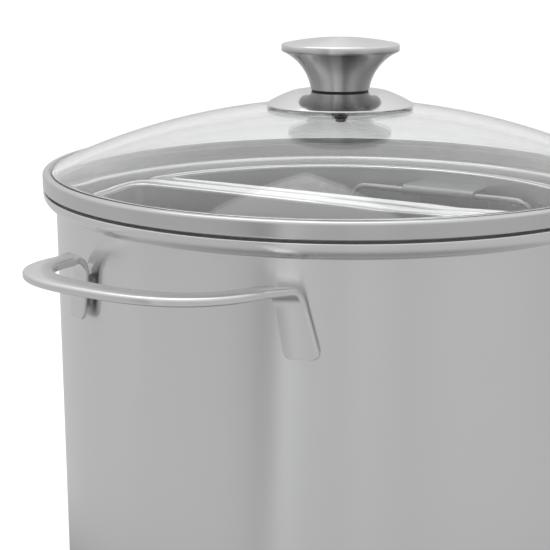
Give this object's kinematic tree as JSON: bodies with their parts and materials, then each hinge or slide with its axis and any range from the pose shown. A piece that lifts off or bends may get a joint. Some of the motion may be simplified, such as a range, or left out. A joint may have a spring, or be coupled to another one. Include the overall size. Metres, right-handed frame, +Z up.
{
  "type": "water bath canner",
  "caption": "Tall stainless stock pot with welded loop handles, domed glass lid with a trumpet knob, and two lift-out half-round baskets with folding bails.",
  "frame": {"origin": "centre of the pot's base, on the surface it stands on", "axes": "+Z up; the loop handles lie along X; the two baskets meet on the YZ plane"},
  "size_m": [0.4202, 0.3132, 0.3467],
  "materials": {
    "pot_steel": "fine vertical-grain brushed stainless, satin",
    "base_aluminium": "plain rolled aluminium",
    "handle_steel": "satin stainless with softened edges",
    "band_steel": "satin stainless sheet, turned",
    "knob_steel": "circular-brushed stainless",
    "plate_steel": "bright finely brushed stainless",
    "basket_steel": "satin stainless sheet",
    "wire_steel": "bright drawn stainless wire",
    "screw_steel": "bright stainless",
    "brass_insert": "plain turned brass",
    "lid_glass": "clear tempered glass, gloss",
    "grey_sealant": "dull grey sealing compound",
    "black_silicone": "matt black silicone"
  },
  "bodies": {
    "pot": {"pot_body": "pot_steel", "base_core": "base_aluminium", "base_cap": "pot_steel", "handle_left": "handle_steel", "handle_right": "handle_steel"},
    "lid": {"lid_glass": "lid_glass", "lid_seal": "grey_sealant", "lid_band": "band_steel", "vent_grommet": "black_silicone", "knob": "knob_steel", "knob_insert": "brass_insert", "knob_gasket": "black_silicone", "knob_plate": "plate_steel", "plate_spacer": "black_silicone", "glass_washer": "black_silicone", "steel_washer": "screw_steel", "lid_screw": "screw_steel"},
    "front_basket": {"front_curved_wall": "basket_steel", "front_flat_wall": "basket_steel", "front_floor": "basket_steel", "front_rim": "basket_steel", "front_feet": "basket_steel", "front_bail_bracket": "basket_steel"},
    "rear_basket": {"rear_curved_wall": "basket_steel", "rear_flat_wall": "basket_steel", "rear_floor": "basket_steel", "rear_rim": "basket_steel", "rear_feet": "basket_steel", "rear_bail_bracket": "basket_steel"},
    "front_bail": {"front_bail": "wire_steel"},
    "rear_bail": {"rear_bail": "wire_steel"}
  },
  "joints": [
    {"name": "lid_lift", "type": "slide", "parent": "pot", "child": "lid", "axis": [0, 0, 1], "range_m": [0, 0.56]},
    {"name": "front_basket_lift", "type": "slide", "parent": "pot", "child": "front_basket", "axis": [0, 0, 1], "range_m": [0, 0.28]},
    {"name": "rear_basket_lift", "type": "slide", "parent": "pot", "child": "rear_basket", "axis": [0, 0, 1], "range_m": [0, 0.28]},
    {"name": "front_bail_swing", "type": "hinge", "parent": "front_basket", "child": "front_bail", "pos_m": [-0.105, 0, 0.2494], "axis": [0, -1, 0], "range_deg": [0, 180]},
    {"name": "rear_bail_swing", "type": "hinge", "parent": "rear_basket", "child": "rear_bail", "pos_m": [0.105, 0, 0.2494], "axis": [0, 1, 0], "range_deg": [0, 180]}
  ],
  "couplings": [
    {"joint": "front_basket_lift", "follows": "lid_lift", "ratio": 0.5},
    {"joint": "rear_basket_lift", "follows": "lid_lift", "ratio": 0.5},
    {"joint": "front_bail_swing", "follows": "lid_lift", "rad_per_m": 5.6},
    {"joint": "rear_bail_swing", "follows": "lid_lift", "rad_per_m": 5.6}
  ]
}
